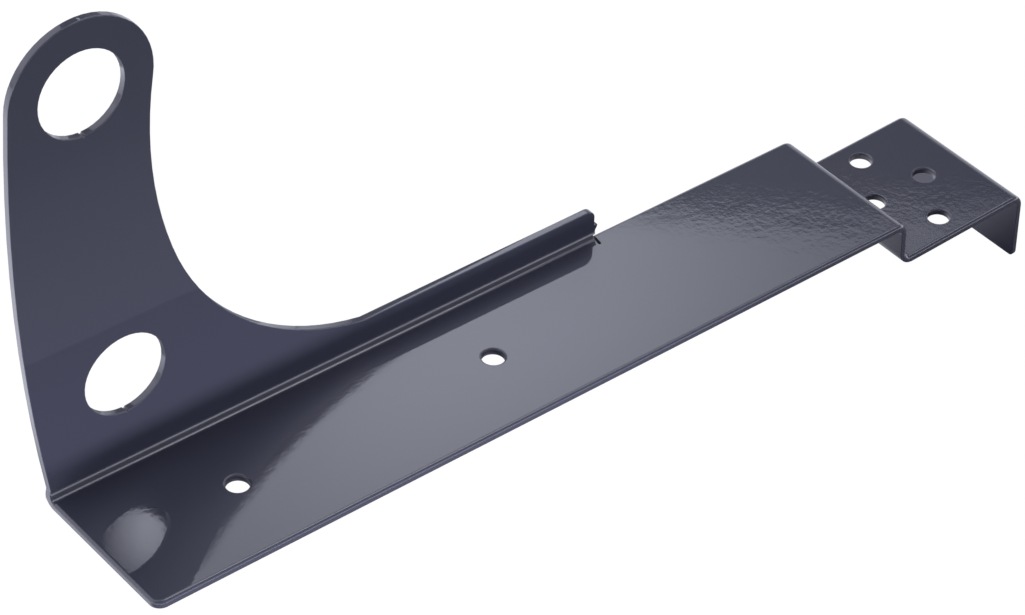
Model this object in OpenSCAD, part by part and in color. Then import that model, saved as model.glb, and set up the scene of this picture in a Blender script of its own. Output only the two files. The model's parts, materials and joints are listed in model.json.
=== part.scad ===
// Snow guard bracket for two round snow rails, folded from one sheet of steel.
// A long strap lies on the roof, a curved web stands up along one edge and carries
// the two rails, and at the far end the strap steps down to a tab with a hook that
// drops behind a roof batten.
// The origin is midway between the two screw holes of the strap, at its underside.
// X runs along the strap towards the hook, Y towards the web, Z up.

/* [Sheet] */
// Thickness of the coated steel sheet
sheet_t = 3; // [2:0.25:4]
// Inside radius of every fold
fold_r = 3; // [1.5:0.25:4.5]

/* [Strap] */
// Width of the strap, step, tab and hook
strap_w = 68.2; // [60:0.2:90]
// Length of the strap from its front edge to the outer face of the step
strap_l = 357.5; // [330:0.5:420]
// Radius of the free front corner of the strap
corner_r = 4.5; // [1:0.5:12]
// Diameter of every screw hole
screw_hole_d = 9; // [6:0.5:12]
// Front edge of the strap to the front screw hole
front_hole_x = 58.5; // [30:0.5:90]
// Distance from the front screw hole to the rear one
hole_pitch = 117; // [80:1:150]

/* [Step, tab and hook] */
// Height of the step, from the top of the strap down to the top of the tab
step_h = 19.2; // [12:0.2:40]
// Lean of the step away from upright, in degrees
step_lean = 4; // [0:0.5:12]
// Extra outside radius of the lower fold of the step, where the sheet is drawn thinner
step_ease = 1.2; // [0:0.1:3]
// Length of the tab from the step to the outer face of the hook
tab_l = 65.8; // [60:0.2:100]
// Upward slope of the tab, in degrees
tab_rise = 2.3; // [0:0.1:6]
// Depth of the hook below the top of the tab
hook_h = 32; // [20:0.5:60]
// Lean of the hook away from upright, in degrees
hook_lean = 3; // [0:0.5:8]
// Radius of the two lower corners of the hook
hook_corner_r = 2; // [0.5:0.25:8]
// Step to the middle of the four tab holes, along the tab
tab_holes_x = 28.7; // [26:0.1:34]
// Distance between the two tab holes that lie along the tab
tab_pitch_along = 27.4; // [20:0.2:30]
// Distance between the two tab holes that lie across the tab
tab_pitch_across = 45.7; // [30:0.1:48]

/* [Web] */
// How far the outer face of the web stands outside the free edge of the strap
web_set_out = 1.8; // [0.2:0.2:5]
// Length of the web along the strap
web_l = 252; // [220:0.1:300]
// Front edge of the strap back to the foot of the web
foot_back = 1; // [0:0.1:3]
// Height of the low rear part of the web above the strap
rib_h = 13.2; // [8:0.1:30]
// Radius of the upper rear corner of the web
rib_corner_r = 4; // [1:0.25:7]
// Radius of the bulging front edge of the web
front_edge_r = 720; // [400:5:1500]
// Width of the ring of sheet round the upper rail hole
head_ring = 11.6; // [6:0.1:25]
// How far the middle of the head lies above the middle of the upper rail hole
head_rise = 0.7; // [0:0.1:3]
// How far the neck under the head is set in from the widest point of the head
neck_inset = 2.5; // [0.5:0.1:8]
// Radius of the upper part of the long inner sweep
neck_sweep_r = 165; // [150:1:220]
// Radius of the lower part of the long inner sweep
throat_sweep_r = 109.5; // [80:0.5:125]
// How far the sweep would dip below the rib if it ran on
sweep_dip = 2; // [0.5:0.1:5]

/* [Rail holes] */
// Diameter of the two rail holes
rail_hole_d = 34; // [24:0.5:42]
// Front edge of the strap to the lower rail hole
low_rail_x = 34.5; // [26:0.5:45]
// Top of the strap to the lower rail hole
low_rail_z = 41; // [32:0.5:55]
// Front edge of the strap to the upper rail hole
top_rail_x = 22.3; // [10:0.1:40]
// Top of the strap to the upper rail hole
top_rail_z = 168.2; // [150:0.2:200]
// Width of the small cutting notch at the bottom of each rail hole
notch_w = 0.8; // [0.4:0.1:2]
// Depth of the small cutting notch
notch_d = 0.6; // [0.3:0.1:2]

/* [Relief at the rear end of the web] */
// Width of the relief slit in the strap
slit_w = 0.9; // [0.5:0.1:2]
// Length of the slit, from the free edge of the strap inwards
slit_l = 6.2; // [5:0.1:12]
// From the end of the web back to the inner end of the slit
slit_back = 0.9; // [0.3:0.05:1.5]
// Slant of the slit away from square, in degrees
slit_slant = 8; // [0:1:10]
// How far the pointed cutting spur stands out of the end of the web
spur_out = 1.8; // [0.6:0.1:4]
// Height of the root of the spur
spur_h = 4.7; // [2:0.1:7]
// Height at which the spur starts above the strap
spur_z = 1.2; // [0.4:0.1:2.5]

/* [Hidden] */

coat = [0.17, 0.18, 0.22];
past = 5;                                  // how far a cutter runs past what it cuts
far = 600;                                 // longer than the whole bracket
lap = 0.003;                               // how far two arcs overlap where they run together

outer_r = fold_r + sheet_t;
mid_y = strap_w / 2;
web_out_y = strap_w + web_set_out;
web_in_y = web_out_y - sheet_t;
fold_y = web_in_y - fold_r;                // the strap is flat up to this line

// Corners of the top face seen from the side, as if every fold were sharp,
// measured from the end of the strap
step_foot = [step_h * tan(step_lean), -step_h];
hook_top = step_foot + tab_l * [cos(tab_rise), sin(tab_rise)];
hook_end = hook_top + hook_h * [sin(hook_lean), -cos(hook_lean)];
side_path = [[-strap_l, 0], [0, 0], step_foot, hook_top, hook_end];
// The strap and the web seen from the front
front_path = [[0, 0], [web_in_y, 0], [web_in_y, top_rail_z + rail_hole_d + head_ring]];

// Outline of the web, seen from the side
low_rail = [low_rail_x, low_rail_z];
top_rail = [top_rail_x, top_rail_z];
head_r = rail_hole_d / 2 + head_ring;
head_c = top_rail + [0, head_rise];
foot = [foot_back, fold_r];
// The front edge starts at the foot and runs into the head from inside
front_c = meet(foot, front_edge_r, head_c, front_edge_r - head_r + lap);
// The long sweep leaves the head, turns at its waist and ends on the rib
neck_x = head_c[0] + head_r - neck_inset;
neck_c = [neck_x + neck_sweep_r, head_c[1]
    - sqrt(pow(head_r + neck_sweep_r - lap, 2) - pow(neck_x + neck_sweep_r - head_c[0], 2))];
throat_z = rib_h - sweep_dip + throat_sweep_r;
throat_c = [neck_c[0] - sqrt(pow(neck_sweep_r - throat_sweep_r + lap, 2)
    - pow(neck_c[1] - throat_z, 2)), throat_z];

function unit(v) = v / norm(v);
// The point at distance ra from a and rb from b, to the right of the line from a to b
function meet(a, ra, b, rb) =
    let (d = norm(b - a), u = unit(b - a), k = (d * d + ra * ra - rb * rb) / (2 * d))
    a + k * u - sqrt(ra * ra - k * k) * [-u[1], u[0]];

// Left-hand normal of the line from a to b
function normal(a, b) = let (d = unit(b - a)) [-d[1], d[0]];
// A corner of the path moved to its left by the distance s
function shifted(path, i, s) =
    i == 0 ? path[0] + s * normal(path[0], path[1])
    : i == len(path) - 1 ? path[i] + s * normal(path[i - 1], path[i])
    : let (n0 = normal(path[i - 1], path[i]), n1 = normal(path[i], path[i + 1]))
        path[i] + s * (n0 + n1) / (1 + n0 * n1);

// Section of the sheet with its top face along the path, each corner folded to true arcs,
// the outside of corner number eased with the further radius ease
module folded(path, eased = 0, ease = 0) {
    last = len(path) - 1;
    difference() {
        union() {
            polygon(concat(path, [for (i = [last:-1:0]) shifted(path, i, -sheet_t)]));
            for (i = [1:last - 1]) fold_corner(path, i, fold_r + sheet_t / 2, fold_r, 0);
        }
        for (i = [1:last - 1]) let (e = i == eased ? ease : 0)
            fold_corner(path, i, outer_r + e + past, outer_r + e, e);
    }
}

// What lies outside the arc of radius r in a fold, out to the distance d from its centre,
// which lies deeper inside the fold by e
module fold_corner(path, i, d, r, e) {
    n0 = normal(path[i - 1], path[i]);
    n1 = normal(path[i], path[i + 1]);
    left = cross(n0, n1) > 0;
    c = shifted(path, i, left ? fold_r + e : -outer_r - e);
    reach = left ? -d : d;
    difference() {
        polygon([c, c + reach * n0, c + reach * (n0 + n1) / (1 + n0 * n1), c + reach * n1]);
        translate(c) circle(r + lap, $fn = 120);
    }
}

// Flat shape seen from the side, made solid from y0 to y1
module from_side(y0, y1) {
    translate([0, y1, 0]) rotate([90, 0, 0]) linear_extrude(y1 - y0) children();
}

module web_outline() {
    difference() {
        union() {
            difference() {
                intersection() {
                    // Below the two lines from the head's centre to the ends of its arc
                    polygon([[-past * 4, fold_r - 0.5], [throat_c[0], fold_r - 0.5], throat_c,
                        neck_c, head_c, head_c + 2 * head_r * unit(head_c - front_c)]);
                    translate(front_c) circle(front_edge_r, $fn = 1440);
                }
                sweep();
            }
            translate([low_rail_x, fold_r]) square([web_l - low_rail_x, rib_h - fold_r]);
            translate(head_c) circle(head_r, $fn = 240);
        }
        rib_corner();
        rail_hole(low_rail);
        rail_hole(top_rail);
    }
    spur();
    // Below the flat web the fold widens towards the strap, which keeps the full length
    polygon([[0, 0], [0, -outer_r], [web_l, -outer_r], [web_l, fold_r + 0.5],
        (fold_r + 0.5) / fold_r * foot]);
}

// The two arcs of the long inner sweep
module sweep() {
    intersection() {
        translate(neck_c) circle(neck_sweep_r, $fn = 720);
        polygon([neck_c, head_c, [top_rail_x, 0],
            neck_c + 1.2 * neck_sweep_r * unit(throat_c - neck_c)]);
    }
    translate(throat_c) circle(throat_sweep_r, $fn = 720);
}

module rib_corner() {
    c = [web_l - rib_corner_r, rib_h - rib_corner_r];
    difference() {
        translate(c) square(rib_corner_r + past);
        translate(c) circle(rib_corner_r + lap, $fn = 96);
    }
}

module rail_hole(c) {
    translate(c) {
        circle(d = rail_hole_d, $fn = 240);
        translate([-notch_w / 2, -rail_hole_d / 2 - notch_d]) square([notch_w, notch_d + 1]);
    }
}

// Pointed remnant that the cutting of the blank left at the end of the web
module spur() {
    translate([web_l, spur_z]) polygon([[-1, 0], [0.2 * spur_out, 0],
        [0.42 * spur_out, 0.38 * spur_h], [0.75 * spur_out, 0.58 * spur_h],
        [spur_out, 0.84 * spur_h], [0.75 * spur_out, 0.89 * spur_h],
        [0.3 * spur_out, 0.9 * spur_h], [0, spur_h], [-1, spur_h]]);
}

// Fold and web: the section seen from the front, trimmed to the outline
module web_side() {
    difference() {
        intersection() {
            translate([-past * 5, 0, 0]) rotate([90, 0, 90]) linear_extrude(web_l + past * 10)
                folded(front_path);
            from_side(-past, web_out_y + past) web_outline();
        }
        at_slit() translate([0, -slit_l, -outer_r]) cube([past, 3 * slit_l, outer_r + spur_z]);
    }
}

// Strap, step, tab and hook, clear of the fold beside the web
module strap_side() {
    difference() {
        translate([strap_l, 0, 0]) from_side(0, strap_w)
            folded(side_path, 2, step_ease);
        intersection() {
            translate([-past, fold_y, -outer_r]) cube([far, strap_w, 2 * outer_r]);
            at_slit() translate([-far, -far / 2, -outer_r]) cube([far, far, 2 * outer_r]);
        }
        hook_corners();
    }
}

module hook_corners() {
    for (side = [0, 1])
        translate([strap_l + hook_end[0], side * strap_w, hook_end[1]])
            mirror([0, side, 0]) rotate([0, -hook_lean, 0]) rotate([90, 0, 90])
                translate([0, 0, -sheet_t - past]) linear_extrude(sheet_t + 2 * past)
                    round_off(hook_corner_r);
}

// What a rounded corner takes off a square corner at the origin
module round_off(r) {
    difference() {
        translate([-past, -past]) square(r + past);
        translate([r, r]) circle(r + lap, $fn = 96);
    }
}

module screw_holes() {
    for (x = [front_hole_x, front_hole_x + hole_pitch])
        translate([x, mid_y, -sheet_t - past])
            cylinder(h = sheet_t + 2 * past, d = screw_hole_d, $fn = 96);
    translate([strap_l + step_foot[0], mid_y, step_foot[1]]) rotate([0, -tab_rise, 0])
        for (p = [[-tab_pitch_along / 2, 0], [tab_pitch_along / 2, 0],
                  [0, -tab_pitch_across / 2], [0, tab_pitch_across / 2]])
            translate([tab_holes_x + p[0], p[1], -sheet_t - past / 2])
                cylinder(h = sheet_t + past, d = screw_hole_d, $fn = 96);
}

// Frame of the slit: origin at the middle of its inner end, Y along it outwards
module at_slit() {
    translate([web_l - slit_back, strap_w - slit_l + slit_w / 2, 0])
        rotate([0, 0, -slit_slant]) children();
}

module relief_slit() {
    at_slit() translate([0, 0, -outer_r]) {
        cylinder(h = outer_r + spur_z, d = slit_w, $fn = 48);
        translate([-slit_w / 2, 0, 0]) cube([slit_w, 2 * slit_l, outer_r + spur_z]);
    }
}

module bracket() {
    color(coat) translate([-front_hole_x - hole_pitch / 2, -mid_y, sheet_t]) difference() {
        union() {
            web_side();
            strap_side();
        }
        screw_holes();
        relief_slit();
        translate([0, 0, -sheet_t - past]) linear_extrude(sheet_t + 2 * past)
            round_off(corner_r);
    }
}

bracket();
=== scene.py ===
import json
from math import radians
import bmesh
import bpy
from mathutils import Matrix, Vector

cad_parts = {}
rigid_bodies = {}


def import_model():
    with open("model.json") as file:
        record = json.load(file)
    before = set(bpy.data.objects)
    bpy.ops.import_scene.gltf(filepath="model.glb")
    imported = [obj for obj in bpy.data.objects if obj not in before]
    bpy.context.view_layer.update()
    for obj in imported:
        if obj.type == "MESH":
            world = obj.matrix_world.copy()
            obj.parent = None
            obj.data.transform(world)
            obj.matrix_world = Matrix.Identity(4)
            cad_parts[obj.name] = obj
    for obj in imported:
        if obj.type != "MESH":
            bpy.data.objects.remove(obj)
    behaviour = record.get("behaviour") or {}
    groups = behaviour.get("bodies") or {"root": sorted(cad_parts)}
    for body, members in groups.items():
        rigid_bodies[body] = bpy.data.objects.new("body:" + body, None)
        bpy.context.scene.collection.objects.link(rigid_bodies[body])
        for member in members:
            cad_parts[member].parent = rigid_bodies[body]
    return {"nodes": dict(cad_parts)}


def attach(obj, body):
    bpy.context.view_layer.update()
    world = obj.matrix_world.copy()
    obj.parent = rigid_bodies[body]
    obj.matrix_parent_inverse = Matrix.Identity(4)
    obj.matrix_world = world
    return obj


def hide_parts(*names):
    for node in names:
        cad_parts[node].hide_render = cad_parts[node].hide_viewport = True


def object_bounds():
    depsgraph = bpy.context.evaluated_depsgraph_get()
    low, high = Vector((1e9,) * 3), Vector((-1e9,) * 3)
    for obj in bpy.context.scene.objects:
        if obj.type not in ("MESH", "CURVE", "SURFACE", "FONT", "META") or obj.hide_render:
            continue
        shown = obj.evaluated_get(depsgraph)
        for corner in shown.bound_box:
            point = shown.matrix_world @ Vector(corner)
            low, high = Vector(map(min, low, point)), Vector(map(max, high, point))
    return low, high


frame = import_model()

# Lengths are in metres and angles in degrees
cadBox = [list(corner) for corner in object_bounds()]
print("frame loaded")


# A node socket that takes Python's arithmetic, so that shader maths reads as a formula
class Wire:
    def __init__(self, graph, socket):
        self.graph, self.socket = graph, socket

    def math(self, operation, first, second=None, clamp=False):
        sockets = {0: first} if second is None else {0: first, 1: second}
        return self.graph.add("Math", {"operation": operation, "use_clamp": clamp}, sockets)

    def __add__(self, other):
        return self.math("ADD", self, other)

    def __radd__(self, other):
        return self.math("ADD", other, self)

    def __sub__(self, other):
        return self.math("SUBTRACT", self, other)

    def __rsub__(self, other):
        return self.math("SUBTRACT", other, self)

    def __mul__(self, other):
        return self.math("MULTIPLY", self, other)

    def __rmul__(self, other):
        return self.math("MULTIPLY", other, self)

    def __truediv__(self, other):
        return self.math("DIVIDE", self, other)

    def __pow__(self, other):
        return self.math("POWER", self, other)

    def most(self, other):
        return self.math("MAXIMUM", self, other)

    def root(self):
        return self.math("SQRT", self)

    # 1 at the middle, falling off to both sides
    def bell(self, middle, width):
        offset = (self - middle) / width
        return self.math("EXPONENT", offset * offset * -0.5)

    # Soft step from 0 to 1 over a width about the middle, or from 1 to 0 over a negative one
    def step(self, middle, width):
        level = self.math("ADD", (self - middle) / width, 0.5, clamp=True)
        return level * level * (3.0 - 2.0 * level)


# The node graph of a material or of the world
class Graph:
    def __init__(self, owner):
        owner.use_nodes = True
        self.tree = owner.node_tree
        self.tree.nodes.clear()

    def add(self, kind, settings=None, sockets=None, out=0):
        node = self.tree.nodes.new("ShaderNode" + kind)
        for name, value in (settings or {}).items():
            setattr(node, name, value)
        for name, value in (sockets or {}).items():
            if isinstance(value, Wire):
                self.tree.links.new(value.socket, node.inputs[name])
            else:
                node.inputs[name].default_value = value
        return Wire(self, node.outputs[out]) if len(node.outputs) else node

    def axes(self, vector):
        return [self.add("SeparateXYZ", None, {0: vector}, out) for out in (0, 1, 2)]


def distance(across, up, point):
    return ((across - point[0]) ** 2 + (up - point[1]) ** 2).root()


def turned(degrees):
    return [radians(angle) for angle in degrees]


def deselect():
    if bpy.context.object and bpy.context.object.mode != "OBJECT":
        bpy.ops.object.mode_set(mode="OBJECT")
    bpy.ops.object.select_all(action="DESELECT")


# The coat: dark blue-grey gloss powder coat
coatLook = {
    "colour": (0.030, 0.031, 0.053, 1),
    "gloss": 0.03,            # roughness of the sharp mirror image
    "sheen": 0.8,             # amount and roughness of the broad sheen over it
    "sheenRoughness": 0.42,
    "refraction": 1.5,
    "peelSize": 0.0022,       # size of the orange peel's waves
    "peelGrain": (2, 0.5),    # detail and roughness of a noise
    "peelShare": 1.6,
    "swellScale": 0.18,       # scale of the longer waves under them, against the peel's
    "swellGrain": (1, 0.4),
    "swellShare": 2.0,
    "peelHeight": 0.0000025,
    "peelGrowth": 9.0,        # how much stronger both get towards the tab
    "growthAlong": (0.17, 0.12),
}


# Noise in the piece's own space
def noise(graph, place, scale, grain):
    detail, roughness = grain
    return graph.add("TexNoise", {"noise_dimensions": "3D"}, {
        "Vector": place, "Scale": scale, "Detail": detail, "Roughness": roughness})


def coatMaterial():
    look = coatLook
    steel = bpy.data.materials.new("darkGlossCoat")
    graph = Graph(steel)
    place = graph.add("TexCoord", None, None, "Object")
    peel = noise(graph, place, 1 / look["peelSize"], look["peelGrain"])
    swell = noise(graph, place, look["swellScale"] / look["peelSize"], look["swellGrain"])
    along, _, _ = graph.axes(place)
    growth = 1.0 + along.step(*look["growthAlong"]) * look["peelGrowth"]
    waves = peel * look["peelShare"] + swell * look["swellShare"]
    height = waves * growth * look["peelHeight"]
    bump = graph.add("Bump", None, {"Strength": 1.0, "Distance": 1.0, "Height": height})
    surface = graph.add("BsdfPrincipled", None, {
        "Base Color": look["colour"], "Roughness": look["gloss"], "IOR": look["refraction"],
        "Coat Weight": look["sheen"], "Coat Roughness": look["sheenRoughness"], "Normal": bump})
    graph.add("OutputMaterial", None, {"Surface": surface})
    return steel


# The bracket: the folded sheet with its edges rounded by punch and coat
bracketShape = {
    "rollOver": 0.0016,       # rounding that the punch leaves along the upper side's edges
    "rollSteps": 8,
    "holeRoll": 0.0008,       # the same round the screw holes
    "holeSteps": 5,
    "edgeRound": 0.00035,     # the coat's rounding of all other cut edges
    "roundSteps": 3,
    "cutAngle": 30,           # edges from this angle up are cut edges
    "smoothAngle": 44,
    "flatAngle": 0.3,         # faces that meet at less than this are one flat face
    "straightRun": 0.002,     # edges that lean more than this from both axes are dissolved
    "weldGap": 0.000001,
    "holesAlong": (-0.0585, 0.0585, 0.2569, 0.2705, 0.2845),    # middles of the screw holes
    "holesAcross": (-0.02285, 0.0, 0.02285),
}

# Where the upper side's cut edges lie, and which way their faces look
edgePlaces = {
    "webFrom": 0.004,         # height above which all is web
    "foldEnd": 0.125,         # the long fold lies up to here along, and from here across
    "foldSide": 0.029,
    "slitEnd": 0.142,         # the slit lies from the fold's end up to here, and from here across
    "slitSide": 0.026,
    "outerSide": 0.0285,      # the outline lies outside these three, the screw holes inside
    "outerFront": -0.114,
    "hookFrom": 0.3,
    "facing": 0.95,           # least part of a normal along the axis that its face looks to
    "sideFacing": 0.9,
    "foldFacing": 0.5,
    "edgeOn": 0.3,            # greatest part of a normal along an axis that it stands across
    "upFirst": 1.1,           # weight of up against along, so that no two faces rank the same
}


# Flat faces get straight edges through the holes' middles and lose all others, so that a
# rounding meets no edge that grazes a hole
def straightenFlats(piece):
    shape = bracketShape
    cuts = [((along, 0, 0), (1, 0, 0)) for along in shape["holesAlong"]]
    cuts += [((0, across, 0), (0, 1, 0)) for across in shape["holesAcross"]]
    for place, normal in cuts:
        bpy.ops.mesh.select_all(action="SELECT")
        bpy.ops.mesh.bisect(plane_co=place, plane_no=normal)
    mesh = bmesh.from_edit_mesh(piece.data)
    bpy.ops.mesh.select_all(action="DESELECT")
    flatAngle = radians(shape["flatAngle"])
    for edge in mesh.edges:
        run = (edge.verts[0].co - edge.verts[1].co).normalized()
        flat = len(edge.link_faces) == 2 and edge.calc_face_angle() < flatAngle
        edge.select = flat and min(abs(run.x), abs(run.y)) > shape["straightRun"]
    bmesh.update_edit_mesh(piece.data)
    bpy.ops.mesh.dissolve_edges(use_verts=False)


# The upper side's cut edges from the front end over step and tab round the hook, or its holes
def selectUpperEdges(piece, holes):
    at = edgePlaces
    mesh = bmesh.from_edit_mesh(piece.data)
    bpy.ops.mesh.select_all(action="DESELECT")
    for edge in mesh.edges:
        if len(edge.link_faces) != 2:
            continue
        middle = (edge.verts[0].co + edge.verts[1].co) / 2
        atFold = middle.x < at["foldEnd"] and middle.y > at["foldSide"]
        atSlit = at["foldEnd"] < middle.x < at["slitEnd"] and middle.y > at["slitSide"]
        if middle.z > at["webFrom"] or atFold or atSlit:
            continue
        wall, upper = [face.normal for face in sorted(
            edge.link_faces, key=lambda face: face.normal.x + at["upFirst"] * face.normal.z)]
        flatTop = upper.z > at["facing"] and abs(wall.z) < at["edgeOn"]
        sideOfFold = upper.x + upper.z > at["foldFacing"] and abs(wall.y) > at["sideFacing"]
        onHook = middle.x > at["hookFrom"]
        hookEnd = onHook and upper.x > at["facing"] and abs(wall.x) < at["edgeOn"]
        if abs(middle.y) > at["outerSide"] or middle.x < at["outerFront"] or onHook:
            edge.select = (flatTop or sideOfFold or hookEnd) and not holes
        else:
            edge.select = flatTop and holes
    bmesh.update_edit_mesh(piece.data)
    print("upper edges", sum(edge.select for edge in mesh.edges))


def coatedBracket():
    shape = bracketShape
    deselect()
    node = frame["nodes"]["bracket"]
    node.select_set(True)
    bpy.context.view_layer.objects.active = node
    bpy.ops.object.duplicate()
    piece = bpy.context.object
    bpy.ops.object.parent_clear(type="CLEAR_KEEP_TRANSFORM")
    piece.name = piece.data.name = "coatedBracket"
    for key in list(piece.keys()):
        del piece[key]
    piece.data.materials.clear()
    bpy.ops.object.mode_set(mode="EDIT")
    bpy.ops.mesh.select_all(action="SELECT")
    bpy.ops.mesh.remove_doubles(threshold=shape["weldGap"])
    bpy.ops.mesh.dissolve_limited(angle_limit=radians(shape["flatAngle"]))
    straightenFlats(piece)
    selectUpperEdges(piece, holes=True)
    bpy.ops.mesh.bevel(offset=shape["holeRoll"], segments=shape["holeSteps"], clamp_overlap=False)
    selectUpperEdges(piece, holes=False)
    bpy.ops.mesh.bevel(offset=shape["rollOver"], segments=shape["rollSteps"], clamp_overlap=False)
    bpy.ops.object.mode_set(mode="OBJECT")
    rounding = piece.modifiers.new("edgeRound", "BEVEL")
    rounding.width = shape["edgeRound"]
    rounding.segments = shape["roundSteps"]
    rounding.limit_method = "ANGLE"
    rounding.angle_limit = radians(shape["cutAngle"])
    rounding.use_clamp_overlap = False
    bpy.ops.object.modifier_apply(modifier="edgeRound")
    bpy.ops.object.shade_smooth_by_angle(angle=radians(shape["smoothAngle"]))
    even = piece.modifiers.new("evenNormals", "WEIGHTED_NORMAL")
    even.keep_sharp = True
    bpy.ops.object.modifier_apply(modifier="evenNormals")
    piece.data.materials.append(coatMaterial())
    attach(piece, "root")
    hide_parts("bracket")
    print("bracket coated", len(piece.data.polygons), "faces")


coatedBracket()

# The stage: floor, surroundings, a soft panel behind and a low lamp in front. In its shaders
# a pair such as paintedLightLeft or glowUp is the middle and the width of a step or a bell

# The floor is white to the camera. The coat mirrors it grey, with painted light at the far left
# and under the tab: patches of the floor that glow brighter and show only in reflections
floorLook = {
    "size": 9.0,
    "middle": (0.09, 0),
    "drop": 0.0004,           # gap under the bracket's lowest point
    "colour": (0.25, 0.255, 0.27, 1),
    "whitePower": 1.06,
    "whiteShare": 0.94,
    # painted light: glowing patches on the floor, which only the coat's reflections show
    "paintedLightColour": (0.94, 0.96, 1.08, 1),
    "paintedLightPower": 1.7,
    "paintedLightLeft": (-0.23, -0.04),
    "paintedLightRight": (0.11, 0.04),
    "rightShare": 0.45,       # brightness of the painted light patch under the tab against the other
    "paintedLightBack": (-0.01, 0.05),
}


def studioFloor():
    look = floorLook
    deselect()
    low = cadBox[0][2] - look["drop"]
    bpy.ops.mesh.primitive_plane_add(size=look["size"], location=(*look["middle"], low))
    floor = bpy.context.object
    floor.name = "studioFloor"
    paint = bpy.data.materials.new("paleFloor")
    graph = Graph(paint)
    matt = graph.add("BsdfDiffuse", None, {"Color": look["colour"]})
    white = graph.add("Emission", None, {"Color": (1, 1, 1, 1), "Strength": look["whitePower"]})
    seen = graph.add("LightPath", None, None, "Is Camera Ray")
    plain = graph.add("MixShader", None, {0: seen * look["whiteShare"], 1: matt, 2: white})
    right, back, _ = graph.axes(graph.add("TexCoord", None, None, "Object"))
    # painted light: the floor glows brighter here for reflections only, not to the camera
    paintedLightPatch = right.step(*look["paintedLightLeft"]) + right.step(*look["paintedLightRight"]) * look["rightShare"]
    paintedLightPatch = paintedLightPatch * back.step(*look["paintedLightBack"]) * (1.0 - seen)
    glow = graph.add("Emission", None, {
        "Color": look["paintedLightColour"], "Strength": look["paintedLightPower"]})
    mixed = graph.add("MixShader", None, {0: paintedLightPatch, 1: plain, 2: glow})
    graph.add("OutputMaterial", None, {"Surface": mixed})
    floor.data.materials.append(paint)


# The panel is brightest left of its middle, with a soft lower border and a round border at
# the left. A small round light beside it shows in the strap through the rail hole
panelLook = {
    "place": (0.548, 0.423, 0.485),
    "aim": (130, 0, -42),
    "height": 0.65,           # against a width of 1
    "raise": 0.175,           # leaves the low sky free below the panel
    "colour": (0.95, 0.98, 1.12, 1),
    "glowAcross": (-0.197, 0.211),
    "glowUp": (-0.005, 0.15),
    "glowPower": 3.6,
    "topUp": (0.34, 0.11),
    "topPower": 1.3,
    "lowerBorder": (-0.041, 0.03),
    "roundMiddle": (0.1156, 0.3903),
    "roundRadius": 0.4322,
    "openFrom": -0.12,        # right of here the round border gives way
    "blurFrom": -0.15,        # left of here it gets softer
    "blurGrowth": 0.05,
    "leastBlur": 0.0025,
    "spotMiddle": (-0.305, 0.175),
    "spotRadius": 0.0195,
    "spotBlur": 0.0035,
    "spotAcross": (-0.298, 0.015),
    "spotUp": (0.163, 0.024),
    "spotPower": 3.8,
}


def softPanel():
    look = panelLook
    deselect()
    bpy.ops.mesh.primitive_plane_add(size=1, enter_editmode=True)
    bpy.ops.transform.resize(value=(1, look["height"], 1))
    bpy.ops.transform.translate(value=(0, look["raise"], 0))
    bpy.ops.object.mode_set(mode="OBJECT")
    panel = bpy.context.object
    panel.location = look["place"]
    panel.name = "softPanel"
    panel.rotation_euler = turned(look["aim"])
    glow = bpy.data.materials.new("panelGlow")
    graph = Graph(glow)
    across, up, _ = graph.axes(graph.add("TexCoord", None, None, "Object"))
    bright = across.bell(*look["glowAcross"]) * up.bell(*look["glowUp"]) * look["glowPower"]
    bright = bright + up.bell(*look["topUp"]) * look["topPower"]
    lower = up.step(*look["lowerBorder"])
    reach = look["roundRadius"] - distance(across, up, look["roundMiddle"])
    reach = reach + (across - look["openFrom"]).most(0.0)
    blur = (look["blurFrom"] - across).most(0.0) * look["blurGrowth"] + look["leastBlur"]
    corner = reach.step(0.0, blur)
    spot = across.bell(*look["spotAcross"]) * up.bell(*look["spotUp"]) * look["spotPower"]
    far = distance(across, up, look["spotMiddle"])
    spot = spot * far.step(look["spotRadius"], -look["spotBlur"])
    light = graph.add("Emission", None, {
        "Color": look["colour"], "Strength": bright * lower * corner + spot})
    graph.add("OutputMaterial", None, {"Surface": light})
    panel.data.materials.append(glow)
    panel.visible_camera = False
    panel.visible_shadow = False


# The lamp in front, low down. The coat doesn't mirror it
lampLook = {
    "place": (-0.08, -0.20, -0.03),
    "aim": (103, 0, 0),
    "size": (0.46, 0.022),
    "spread": 76,
    "power": 0.36,
    "colour": (1.0, 0.98, 0.9),
}


def lowLamp():
    look = lampLook
    deselect()
    bpy.ops.object.light_add(type="AREA", location=look["place"])
    lamp = bpy.context.object
    lamp.name = "lowLamp"
    lamp.rotation_euler = turned(look["aim"])
    lamp.data.shape = "RECTANGLE"
    lamp.data.size, lamp.data.size_y = look["size"]
    lamp.data.spread = radians(look["spread"])
    lamp.data.energy = look["power"]
    lamp.data.color = look["colour"]
    lamp.visible_glossy = False
    lamp.visible_camera = False


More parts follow.
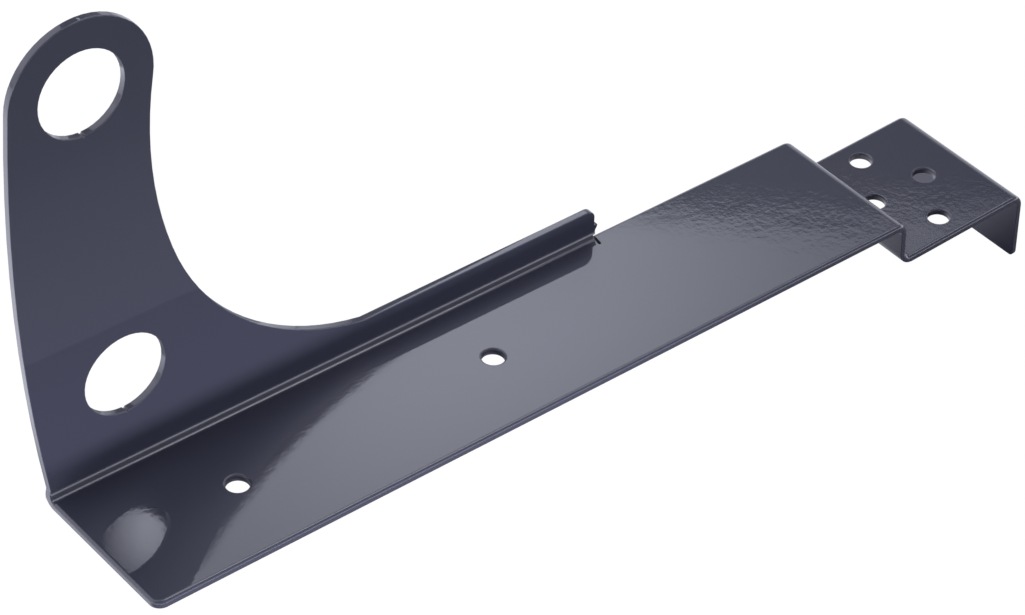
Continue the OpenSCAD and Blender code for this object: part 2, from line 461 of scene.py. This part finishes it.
# The surroundings are white to the camera. The coat mirrors a pale wall behind, low bands
# of light in front and at the rear, and a bright patch overhead
skyLook = {
    "colour": (0.96, 0.98, 1.08, 1),
    "everywhere": 0.19,
    "wallUp": (0.3, 0.25),
    "wallBack": (0.0, 0.4),
    "wallRight": (0.62, -0.15),
    "wallPower": 1.1,
    "frontUp": (0.0, 0.13),
    "frontBack": (0.3, -0.3),
    "frontPower": 3.7,
    "patchRight": (0.48, 0.15),
    "patchBack": (-0.05, 0.11),
    "patchUp": (0.0, 0.2),
    "patchPower": 4.8,
    "rearUp": (0.16, 0.18),
    "rearBack": (0.35, 0.3),
    "rearFrom": (0.0, 0.06),
    "rearPower": 0.8,
}


def surroundings():
    look = skyLook
    world = bpy.data.worlds.new("whiteStudio")
    bpy.context.scene.world = world
    graph = Graph(world)
    right, back, up = graph.axes(graph.add("TexCoord", None, None, "Generated"))
    wall = up.step(*look["wallUp"]) * back.step(*look["wallBack"])
    wall = wall * right.step(*look["wallRight"]) * look["wallPower"]
    front = up.bell(*look["frontUp"]) * back.step(*look["frontBack"]) * look["frontPower"]
    patch = right.bell(*look["patchRight"]) * back.bell(*look["patchBack"])
    patch = patch * up.step(*look["patchUp"]) * look["patchPower"]
    rear = up.bell(*look["rearUp"]) * back.step(*look["rearBack"])
    rear = rear * up.step(*look["rearFrom"]) * look["rearPower"]
    power = wall + front + patch + rear + look["everywhere"]
    air = graph.add("Background", None, {"Color": look["colour"], "Strength": power})
    white = graph.add("Background", None, {"Color": (1, 1, 1, 1), "Strength": 1.0})
    seen = graph.add("LightPath", None, None, "Is Camera Ray")
    mixed = graph.add("MixShader", None, {0: seen, 1: air, 2: white})
    graph.add("OutputWorld", None, {"Surface": mixed})


softPanel()
lowLamp()
studioFloor()
surroundings()
print("stage set")

# The camera, at the photograph's own place
cameraLook = {
    "place": (-0.598956, -0.774732, 0.870919),
    "turn": (50.16685, -1.99637, -38.86459),
    "sensor": 36,
    "lens": 125.784,
    "shift": (0.00706, 0.00568),
    "clip": (0.05, 50),
}


def photoCamera():
    look = cameraLook
    data = bpy.data.cameras.new("photoCamera")
    data.sensor_width = look["sensor"]
    data.lens = look["lens"]
    data.shift_x, data.shift_y = look["shift"]
    data.clip_start, data.clip_end = look["clip"]
    camera = bpy.data.objects.new("photoCamera", data)
    bpy.context.scene.collection.objects.link(camera)
    camera.location = look["place"]
    camera.rotation_euler = turned(look["turn"])
    bpy.context.scene.camera = camera


photoCamera()
bpy.context.scene.view_settings.view_transform = "Standard"
print("camera placed")
